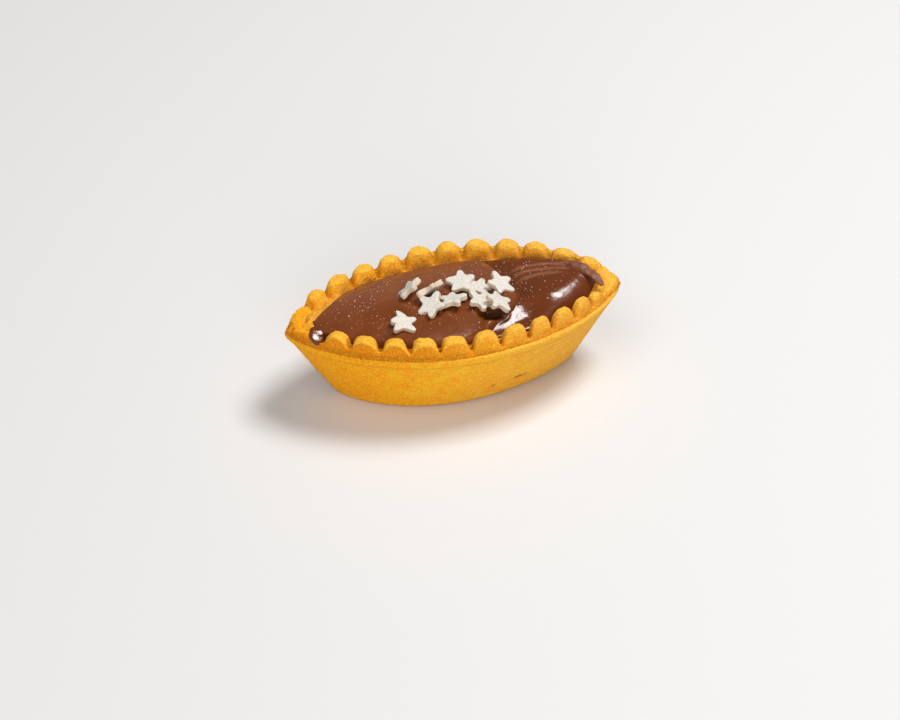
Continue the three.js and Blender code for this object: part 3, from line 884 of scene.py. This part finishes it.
def cream_height(x, y):
    """Height of the cream's top."""
    with np.errstate(divide="ignore", invalid="ignore"):
        across = np.nan_to_num(y / half_width_at(CREAM_OUTLINE, x))
    across = np.clip(across, -1, 1)
    along = np.clip(x / CREAM_OUTLINE.half_length, -1, 1)
    from_front, from_back = distance_in(CREAM_OUTLINE, x, y)
    # The right half: low in front and beside the fold, with a roll along its front further right
    middle = np.interp(x, *np.array(STEP_MIDDLE).T)
    step = smoothstep(from_front, middle - STEP_REACH, middle + STEP_REACH)
    valley = VALLEY + STEP_RISE * step * (1 - 0.6 * smoothstep(x, *STEP_END))
    beyond_fold = np.maximum(-lobe_inside(x, y), 0)
    deep = smoothstep(from_front, *TROUGH_FRONT) * smoothstep(x, *TROUGH_LEFT)
    valley = valley - TROUGH * np.exp(-((beyond_fold / TROUGH_WIDTH) ** 2)) * deep
    inward = np.clip(from_front / RIDGE_REACH, 0, 1)
    bend = np.maximum(inward - RIDGE_STRAIGHT, 0)
    climb = (2 * inward - bend * bend / (1 - RIDGE_STRAIGHT)) / (1 + RIDGE_STRAIGHT)
    ridge = VALLEY + RIDGE_HEIGHT * climb * (1 - RIDGE_BACK * smoothstep(from_front, 8.5, 15))
    lengthways = x + RIDGE_SKEW * (np.clip(from_front, 0, 8) - 4)
    right = valley + (ridge - valley) * smoothstep(lengthways, RIDGE_START, RIDGE_FULL)
    # The left lobe lies over it
    left = lobe(LEFT_LOBE, x, y) + lobe(FRONT_MOUND, x, y)
    left = np.maximum(left, FOLD_HEIGHT * smoothstep(x, 0, 12))
    rolled = np.clip(lobe_inside(x, y) / (FOLD_ROLL + smoothstep(from_front, 7, 11)), 0, 1)
    roll = rolled * (2 - rolled)
    rise = right + np.maximum(left - right, 0) * roll
    sharpness = np.where(across < 0, FRONT_EDGE_SHARPNESS, EDGE_SHARPNESS)
    edge = (1 - np.abs(across) ** sharpness) * (1 - np.abs(along) ** END_SHARPNESS)
    rounding = np.sqrt(np.clip(edge, 0, 1))
    lap_reach = smoothstep(x, 17, 26) * (1 - smoothstep(along, 0.9, 1))
    lap = CREAM_LAP * lap_reach * smoothstep(across, 0.2, 1)
    front_drop = FRONT_EDGE_DROP * smoothstep(-across, 0.3, 1)
    height = CREASE_HEIGHT + CREAM_EDGE_HEIGHT - front_drop + lap * (1 - 0.5 * rounding)
    height = height + (CREAM_EDGE_RISE + front_drop + rise) * rounding
    near_front = np.clip(1 - from_front / FRONT_DIP_REACH, 0, 1)
    height = height - FRONT_DIP * near_front * near_front * smoothstep(x, 15, 19) * rounding
    side = np.where(y < 0, -1, 1)
    beyond = toe_distance(x, side) - INNER_EDGE - CLEARANCE - np.minimum(from_front, from_back)
    height = height - TUCK * smoothstep(beyond, 0.2, 1.6)
    for mark in MARKS:
        height = height + mark_height(mark, x, y) * rounding
    # Fine streaks along the back edge of the left lobe, and on the right half
    lengthways = x + 0.35 * from_back
    streaks = noise(np.stack([lengthways / 11, from_back / 1.1, 0 * x], axis=-1), 1, 5)
    streaks_fine = noise(np.stack([lengthways / 7, from_back / 0.35, 0 * x], axis=-1), 1, 6)
    back_left = (1 - smoothstep(from_back, 6, 12)) * (1 - smoothstep(x, -2, 14))
    back_right = smoothstep(x, 14, 20) * (1 - smoothstep(from_back, 3.4, 6))
    streaks = STREAK_DEPTH * streaks + FINE_STREAK_DEPTH * streaks_fine
    height = height + streaks * (back_left + 1.1 * back_right) * rounding
    flat = np.stack([x, y, 0 * x], axis=-1)
    height = height + 0.07 * noise(flat, 5, 7) * rounding
    rough = 0.3 * noise(flat, 0.7, 8) - 0.25
    for spot in ROUGH_SPOTS:
        height = height + near_spot(spot, x, y) * rough
    return height


def hollow(x, y):
    """How deep a place lies in the hollow in front of the stars, from 0 to 1."""
    along, across = (x - HOLLOW.x) / HOLLOW.half_length, (y - HOLLOW.y) / HOLLOW.half_width
    return np.exp(-((along**2 + across**2) ** 1.5))


def terraces(x, y):
    """How near a place lies to the upper edges of the spatula's steps in the right half."""
    near = 0.0
    for mark in MARKS[TERRACES]:
        behind, within = beside_mark(mark, x, y, 4)
        across = (behind - 0.2) / 0.4
        near = np.maximum(near, np.exp(-across * across) * within)
    return near


def furrow(x, y):
    """How near a place lies to the shaded furrow beside the first star."""
    line = np.interp(y, [-11.6, -7.2], [-20.2, -17.1])
    return np.exp(-(((x - line) / 1.3) ** 2)) * (1 - smoothstep(y, -7.5, -5))


def dryness(points):
    """Where the cream is broken and dull rather than smooth."""
    x, y = points[:, 0], points[:, 1]
    dry = 0.0
    for spot in ROUGH_SPOTS:
        dry = np.maximum(dry, near_spot(spot, x, y))
    _, from_back = distance_in(CREAM_OUTLINE, x, y)
    torn = smoothstep(x, 22, 29) * (1 - smoothstep(from_back, 2.5, 5))
    torn = torn * (points[:, 2] > CREASE_HEIGHT)
    return np.maximum(dry, 0.8 * torn * smoothstep(noise(points, 1.6, 15), -0.4, 0.4))


CREAM_COLUMNS = 340
CREAM_ROWS = 150
# How far the cream's edge lies hidden in the crust
UNDER_CRUST = 0.35


def cream():
    """The cream: it fills the hollow, under a top laid out in columns from tip to tip."""
    u = crowded(CREAM_COLUMNS)
    outer = inside(RIM, INNER_EDGE - UNDER_CRUST)
    x, reach = outline_point(outer, u, 1)
    y = reach[:, None] * crowded(CREAM_ROWS)[None, :]
    x = np.repeat(x[:, None], CREAM_ROWS + 1, axis=1)
    scale_x = CREAM_OUTLINE.half_length / outer.half_length
    scale_y = half_width_at(CREAM_OUTLINE, x * scale_x) / np.maximum(half_width_at(outer, x), 1e-6)
    height = cream_height(x * scale_x, y * np.minimum(scale_y, 1))
    height -= HOLLOW.depth * hollow(x, y)
    top = np.stack([x, y, height], axis=-1)
    index = np.arange(top[..., 0].size).reshape(top.shape[:2])
    brim = np.concatenate([index[:, 0], index[-2:0:-1, -1]])
    side = np.concatenate([np.full(len(u), -1), np.full(len(u) - 2, 1)])
    u_round = np.concatenate([u, u[-2:0:-1]])
    points = [top.reshape(-1, 3)]
    rings = []
    for height, extra in FILL_RINGS:
        rx, ry = outline_point(inside(wall_outline(height), WALL + extra + CLEARANCE), u_round, side)
        start = sum(len(p) for p in points)
        points.append(np.stack([rx, ry, 0 * rx + height], axis=-1))
        rings.append(np.arange(start, start + len(rx)))
    rings.append(brim)
    centre = sum(len(p) for p in points)
    points.append(np.array([[0, 0, FLOOR + CLEARANCE]]))
    a, b = index[:-1, :-1], index[1:, :-1]
    quads = np.stack([a, b, index[1:, 1:], index[:-1, 1:]], axis=-1).reshape(-1, 4)
    sides = [
        np.stack([low, np.roll(low, -1), np.roll(high, -1), high], axis=-1)
        for low, high in zip(rings, rings[1:])
    ]
    faces = [quads, *sides, fan_faces(rings[0], centre, True)]
    points = np.concatenate(points)
    x, y = points[:, :2].T
    inward = lobe_inside(x, y)
    masks = {
        "dry": dryness(points),
        # Painted shade in the hollow and the furrow
        "pit_shade": np.maximum(hollow(x, y), 0.4 * furrow(x, y)),
        # Inside the left lobe; the cream outside it gets painted shade
        "lobe": smoothstep(inward, -0.3, 0.5),
        # Painted sheen on the upper edges of the terraces
        "terrace_sheen": terraces(x, y),
        # Where the fold's roll is painted lighter, as lit from the right
        "roll": np.exp(-(((inward - 0.9) / 0.9) ** 2)) * smoothstep(y, -6, 0),
    }
    made = mesh_piece("hazelnut_cream", points, faces, cream_material(), "hazelnut_cream", masks)
    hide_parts("filling")


STRAND_RINGS = 40
STRAND_AROUND = 28
# Knots of each strand: x, y, height above the crease, then half its width and half its thickness
DROP = [
    (-34.5, -3.4, 2.7, 0.9, 0.6), (-35.3, -4.5, 3.1, 1.7, 0.6),
    (-35.6, -6.0, 2.5, 1.8, 0.6), (-35.0, -7.9, 1.4, 1.1, 0.6),
]
FLAKE = [
    (33.0, 1.7, 4.7, 1.1, 0.45), (35.0, -0.3, 4.6, 1.2, 0.5),
    (36.0, -2.4, 4.2, 1.0, 0.4), (36.7, -4.3, 3.7, 0.5, 0.25),
]


def strand(name, knots, rough, seed, dry=0.0, roll=0.0):
    """A rounded length of cream along a path of knots, made rough, dry and rolled as given."""
    places = np.linspace(0, 1, len(knots))
    steps = np.linspace(0, 1, STRAND_RINGS)
    *line, width, height = [np.interp(steps, places, values) for values in np.array(knots).T]
    line = softened(np.stack(line, axis=-1), 8) + [0, 0, CREASE_HEIGHT]
    ends = np.sqrt(np.clip(1 - (2 * steps - 1) ** 8, 0, 1))
    width, height = width * ends, height * ends
    heading = np.gradient(line, axis=0)
    side = np.cross([0, 0, 1], heading)
    side /= np.linalg.norm(side, axis=-1, keepdims=True)
    upward = np.cross(heading, side)
    upward /= np.linalg.norm(upward, axis=-1, keepdims=True)
    side, upward = side - roll * upward, upward + roll * side
    turn = np.arange(STRAND_AROUND) * 2 * np.pi / STRAND_AROUND
    around, above = (np.sign(wave) * np.abs(wave) ** 0.5 for wave in (np.cos(turn), np.sin(turn)))
    grid = line[:, None] + side[:, None] * (width[:, None] * around)[..., None]
    grid = grid + upward[:, None] * (height[:, None] * above)[..., None]
    grid[1:-1] += rough * (noise(grid, 0.9, seed)[..., None] * grid_normals(grid))[1:-1]
    points = np.concatenate([grid.reshape(-1, 3), line[:1], line[-1:]])
    faces = closed_faces(*grid.shape[:2])
    masks = {"dry": np.full(len(points), dry)}
    mesh_piece(name, points, faces, cream_material(), "hazelnut_cream", masks)


def cream_ends():
    """The drop of cream at the left end, and the torn flake over the crust at the right end."""
    strand("cream_drop", DROP, 0.03, 16, roll=0.17)
    strand("cream_flake", FLAKE, 0.35, 17, dry=1.0)


def cream_base(x, y):
    """Height of the cream that a star or a grain of sugar lies on."""
    return cream_height(np.array([float(x)]), np.array([float(y)]))[0]


# Corners of one arm: degrees from its middle, and share of the radius
STAR_ARM_OUTLINE = [(-36, 0.57), (-22, 0.64), (-8, 0.98), (8, 0.98), (22, 0.64)]
STAR_AROUND = 120
# Rings from the middle of the underside to the middle of the top: share of the radius, height as
# a share of half the thickness, distance in from the edge and how much of the ring is side
STAR_PROFILE = [
    (0.3, -1, 0, 0), (0.7, -1, 0, 0), (1, -1, 0.5, 0), (1, -0.9, 0.2, 0.3), (1, -0.6, 0.03, 0.8),
    (1, -0.2, 0.1, 1), (1, 0.2, 0.1, 1), (1, 0.55, 0.0, 0.7), (1, 0.8, 0.1, 0.2), (1, 0.95, 0.3, 0),
    (1, 1, 0.6, 0), (0.8, 1, 0.35, 0), (0.6, 1, 0.2, 0), (0.4, 1, 0.1, 0), (0.2, 1, 0, 0),
]
# The star that lies apart: how much longer each arm is, and how far askew
FIRST_STAR_ARMS = [(-0.03, 0), (0.13, 22), (-0.17, 15), (0.0, -3), (0.13, 9)]


def star_outline(seed):
    """Radius of a star at even turns, as a share of its own, with rounded corners."""
    random = np.random.default_rng(SEED + 40 + seed)
    longer = random.uniform(-0.11, 0.09, STAR_ARMS)
    askew = random.uniform(-6, 6, STAR_ARMS)
    if seed == 0:
        longer, askew = np.array(FIRST_STAR_ARMS).T
    angles, shares = [], []
    for arm in range(-1, STAR_ARMS + 1):
        for angle, share in STAR_ARM_OUTLINE:
            tip = share > 0.9
            angles.append(360 / STAR_ARMS * arm + angle + tip * askew[arm % STAR_ARMS])
            shares.append(share + tip * longer[arm % STAR_ARMS])
    corners = np.array(shares)[:, None] * np.stack(
        [np.cos(np.radians(angles)), np.sin(np.radians(angles))], axis=-1
    )
    turn = np.arange(STAR_AROUND) * 360 / STAR_AROUND
    step = np.linspace(0, len(corners) - 1, 4000)
    x = np.interp(step, np.arange(len(corners)), corners[:, 0])
    y = np.interp(step, np.arange(len(corners)), corners[:, 1])
    found = np.degrees(np.unwrap(np.arctan2(y, x)))
    found = found - 360 * np.round((found[0] - angles[0]) / 360)
    radius = np.interp(turn, found, np.hypot(x, y))
    return np.radians(turn), evened(radius, 3)


def star_points(star, seed):
    """One star as it lies: rings from the middle of its underside to the middle of its top."""
    turn, radius = star_outline(seed)
    half = STAR_THICKNESS / 2
    rings, masks = [], []
    for share, height, inset, side in STAR_PROFILE:
        reach = (radius * STAR_RADIUS * star.size - inset) * share
        x, y = reach * np.cos(turn), reach * np.sin(turn)
        rings.append(np.stack([x, y, 0 * turn + half * height], axis=-1))
        masks.append(0 * turn + side)
    grid = np.array(rings)
    shift = grid + 50 * seed
    depth = 0.12 * noise(shift, 1.3, 9) + 0.05 * noise(shift, 0.5, 10)
    depth = depth + 0.13 * noise(shift, 3, 11)
    grid = grid + grid_normals(grid) * depth[..., None]
    points = np.concatenate([grid.reshape(-1, 3), [[0, 0, -half], [0, 0, half]]])
    way = math.radians(star.way)
    tilt = Matrix.Rotation(math.radians(star.tilt), 3, Vector((-math.sin(way), math.cos(way), 0)))
    turned = np.array(tilt @ Matrix.Rotation(math.radians(star.turn), 3, "Z"))
    height = float(cream_base(star.x, star.y))
    points = points @ turned.T + [star.x, star.y, height + star.lift]
    return points, np.append(masks, [0, 0]), len(grid)


def sugar_stars():
    """All the stars as one piece."""
    points, masks, faces = [], [], []
    start = 0
    for seed, star in enumerate(STARS):
        made, mask, rings = star_points(star, seed)
        points.append(made)
        masks.append(mask)
        faces += closed_faces(rings, STAR_AROUND, start)
        start += len(made)
    quads = [f for f in faces if f.shape[1] == 4]
    fans = [f for f in faces if f.shape[1] == 3]
    material = sugar("sugar_star", colour(220, 215, 207), colour(200, 190, 176))
    masks = {"side": np.concatenate(masks)}
    mesh_piece("sugar_stars", np.concatenate(points), quads + fans, material, "sugar", masks)


def grains(places, sizes):
    """Points and faces of eight-sided grains, each turned and squashed its own way."""
    random = np.random.default_rng(SEED + 2)
    corners = np.concatenate([np.eye(3), -np.eye(3)])[[0, 3, 1, 4, 2, 5]]
    sides = np.array([
        [0, 2, 4], [2, 1, 4], [1, 3, 4], [3, 0, 4], [2, 0, 5], [1, 2, 5], [3, 1, 5], [0, 3, 5],
    ])
    count = len(places)
    squash = random.uniform(0.6, 1.2, (count, 1, 3))
    shape = corners[None] * squash * np.asarray(sizes)[:, None, None] / 2
    axes, _ = np.linalg.qr(random.normal(size=(count, 3, 3)))
    axes *= np.sign(np.linalg.det(axes))[:, None, None]
    points = np.einsum("nij,nkj->nki", axes, shape) + np.asarray(places)[:, None, :]
    faces = sides[None] + 6 * np.arange(count)[:, None, None]
    return points.reshape(-1, 3), [faces.reshape(-1, 3)]


SPECKS = 560
# Widths of the grains, and the share of each
SPECK_SIZES = [0.17, 0.24, 0.36]
SPECK_SHARES = [0.6, 0.33, 0.07]


def sugar_specks():
    """Tiny grains of sugar over the cream, thicker in drifts."""
    random = np.random.default_rng(SEED + 1)
    places, sizes = [], []
    while len(places) < SPECKS:
        x, y = random.uniform(-34, 34), random.uniform(-15, 15)
        if abs(y) > half_width_at(CREAM_OUTLINE, x) - 0.8:
            continue
        drift = noise(np.array([[x, y, 0.0]]), 4, 12)[0]
        beside_fold = math.exp(-(((x - 15) / 4) ** 2))
        if random.random() > 0.5 + 0.35 * drift + 0.4 * beside_fold:
            continue
        places.append((x, y, cream_base(x, y) + 0.05))
        sizes.append(random.choice(SPECK_SIZES, p=SPECK_SHARES))
    material = sugar("sugar_speck", colour(250, 238, 224), colour(232, 208, 184))
    mesh_piece("sugar_specks", *grains(places, sizes), material, "sugar")


# Lights, with their distance and size in metres
Light = namedtuple("Light", "name direction distance size power")
KEY_LIGHT = Light("key_light", (0.415, 0.113, 0.903), 1.0, 0.36, 8.1)
FILL_LIGHTS = [
    Light("front_fill", (-0.1, -0.93, 0.34), 1.6, 1.2, 14.4),
    Light("top_fill", (-0.4, -0.35, 0.85), 1.5, 1.0, 6.5),
]
WORLD_STRENGTH = 0.15
FLOOR_SIZE = 8
FLOOR_COLOUR = (0.72, 0.71, 0.70, 1)


def area_light(light):
    """A square light that faces the tart."""
    data = bpy.data.lights.new(light.name, "AREA")
    data.shape = "SQUARE"
    data.size = light.size
    data.energy = light.power
    made = bpy.data.objects.new(light.name, data)
    direction = Vector(light.direction)
    made.location = direction.normalized() * light.distance
    made.rotation_mode = "QUATERNION"
    made.rotation_quaternion = direction.to_track_quat("Z", "Y")
    bpy.context.scene.collection.objects.link(made)
    return made


def studio():
    """A pale floor and soft light."""
    bpy.ops.mesh.primitive_plane_add(size=FLOOR_SIZE)
    floor = bpy.context.object
    floor.name = "floor"
    pale = Shader("pale_floor").surface(Base_Color=FLOOR_COLOUR, Roughness=0.6)
    floor.data.materials.append(pale)
    area_light(KEY_LIGHT)
    for light in FILL_LIGHTS:
        area_light(light).visible_glossy = False
    world = bpy.data.worlds.new("studio")
    world.use_nodes = True
    background = world.node_tree.nodes["Background"]
    background.inputs["Color"].default_value = (1, 1, 1, 1)
    background.inputs["Strength"].default_value = WORLD_STRENGTH
    bpy.context.scene.world = world
    bpy.context.scene.view_settings.view_transform = "Standard"


def camera():
    """The camera at the photograph's angle."""
    data = bpy.data.cameras.new("photo_camera")
    data.sensor_width = SENSOR
    data.lens = FOCAL_PIXELS * SENSOR / PICTURE_WIDTH
    data.clip_start = 0.01
    data.clip_end = 20
    turn, pitch, roll = CAMERA_TURN, CAMERA_PITCH, CAMERA_ROLL
    flat = math.cos(pitch)
    back = Vector((math.sin(turn) * flat, -math.cos(turn) * flat, math.sin(pitch)))
    level = Vector((math.cos(turn), math.sin(turn), 0))
    down = (-back).cross(level)
    right = math.cos(roll) * level + math.sin(roll) * down
    down = -math.sin(roll) * level + math.cos(roll) * down
    across = (ORIGIN_PIXEL[0] - PICTURE_WIDTH / 2) / FOCAL_PIXELS * CAMERA_DISTANCE
    below = (ORIGIN_PIXEL[1] - PICTURE_HEIGHT / 2) / FOCAL_PIXELS * CAMERA_DISTANCE
    place = (back * CAMERA_DISTANCE - right * across - down * below) * MM
    eye = bpy.data.objects.new("photo_camera", data)
    eye.matrix_world = Matrix.Translation(place) @ Matrix([right, -down, back]).transposed().to_4x4()
    bpy.context.scene.collection.objects.link(eye)
    bpy.context.scene.camera = eye


crust()
cream()
cream_ends()
sugar_stars()
sugar_specks()
studio()
camera()
